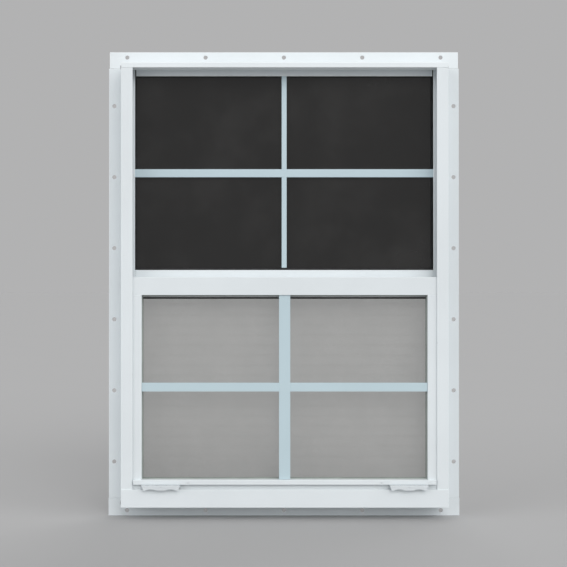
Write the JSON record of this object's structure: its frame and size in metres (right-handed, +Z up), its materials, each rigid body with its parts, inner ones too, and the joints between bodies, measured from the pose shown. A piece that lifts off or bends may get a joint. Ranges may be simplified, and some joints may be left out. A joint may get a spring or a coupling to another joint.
{
  "type": "sash window",
  "caption": "White aluminium single-hung sash window with nailing flange, grid bars, dark fixed upper light, half screen and sliding lower sash with spring latches.",
  "frame": {"origin": "centre of the nail-hole pattern, on the flange face that meets the wall", "axes": "+X to the right seen from the room, +Y outdoors through the wall, +Z up"},
  "size_m": [0.501, 0.056, 0.662],
  "materials": {
    "white_frame": "white satin powder coat on aluminium",
    "white_sash": "white satin powder coat on aluminium",
    "grid_white": "pale blue-white coat",
    "tinted_glass": "dark tinted float glass",
    "clear_glass": "clear float glass",
    "black_rubber": "matt black rubber",
    "grey_rubber": "matt grey rubber",
    "screen_paint": "white painted roll-formed aluminium",
    "white_plastic": "moulded white plastic",
    "screen_cloth": "grey coated glass-fibre cloth",
    "grey_pile": "grey polypropylene pile",
    "latch_plastic": "moulded blue-white plastic",
    "screw_steel": "zinc-plated steel",
    "spring_steel": "stainless spring steel"
  },
  "bodies": {
    "frame": {"head": "white_frame", "left_jamb": "white_frame", "right_jamb": "white_frame", "sill": "white_frame", "fixed_rail": "white_frame", "corner_screws": "screw_steel", "fixed_rail_screws": "screw_steel", "upper_glass": "tinted_glass", "upper_gasket": "black_rubber", "upper_bar_horizontal": "grid_white", "upper_bar_vertical": "grid_white", "screen_top_bar": "screen_paint", "screen_bottom_bar": "screen_paint", "screen_left_bar": "screen_paint", "screen_right_bar": "screen_paint", "screen_corners": "white_plastic", "screen_mesh": "screen_cloth", "screen_spline": "black_rubber", "screen_springs": "spring_steel", "screen_pull_tabs": "white_plastic"},
    "sash": {"sash_top_rail": "white_sash", "sash_bottom_rail": "white_sash", "sash_left_stile": "white_sash", "sash_right_stile": "white_sash", "sash_screws": "screw_steel", "sash_glass": "clear_glass", "sash_gasket": "grey_rubber", "sash_bar_horizontal": "grid_white", "sash_bar_vertical": "grid_white", "sash_bar_plugs": "white_plastic", "sash_glides": "white_plastic", "left_stile_pile": "grey_pile", "right_stile_pile": "grey_pile", "meeting_rail_pile": "grey_pile", "bottom_seal": "grey_rubber", "left_latch_spring": "spring_steel", "right_latch_spring": "spring_steel", "latch_spring_stops": "white_plastic"},
    "left_latch": {"left_latch": "latch_plastic"},
    "right_latch": {"right_latch": "latch_plastic"}
  },
  "joints": [
    {"name": "sash_lift", "type": "slide", "parent": "frame", "child": "sash", "axis": [0, 0, 1], "range_m": [0, 0.2914]},
    {"name": "left_latch_slide", "type": "slide", "parent": "sash", "child": "left_latch", "axis": [-1, 0, 0], "range_m": [0, 0.005], "stiffness_N_per_m": 200, "springref_m": 0.012, "deforming": ["left_latch_spring"]},
    {"name": "right_latch_slide", "type": "slide", "parent": "sash", "child": "right_latch", "axis": [1, 0, 0], "range_m": [0, 0.005], "stiffness_N_per_m": 200, "springref_m": 0.012, "deforming": ["right_latch_spring"]}
  ]
}
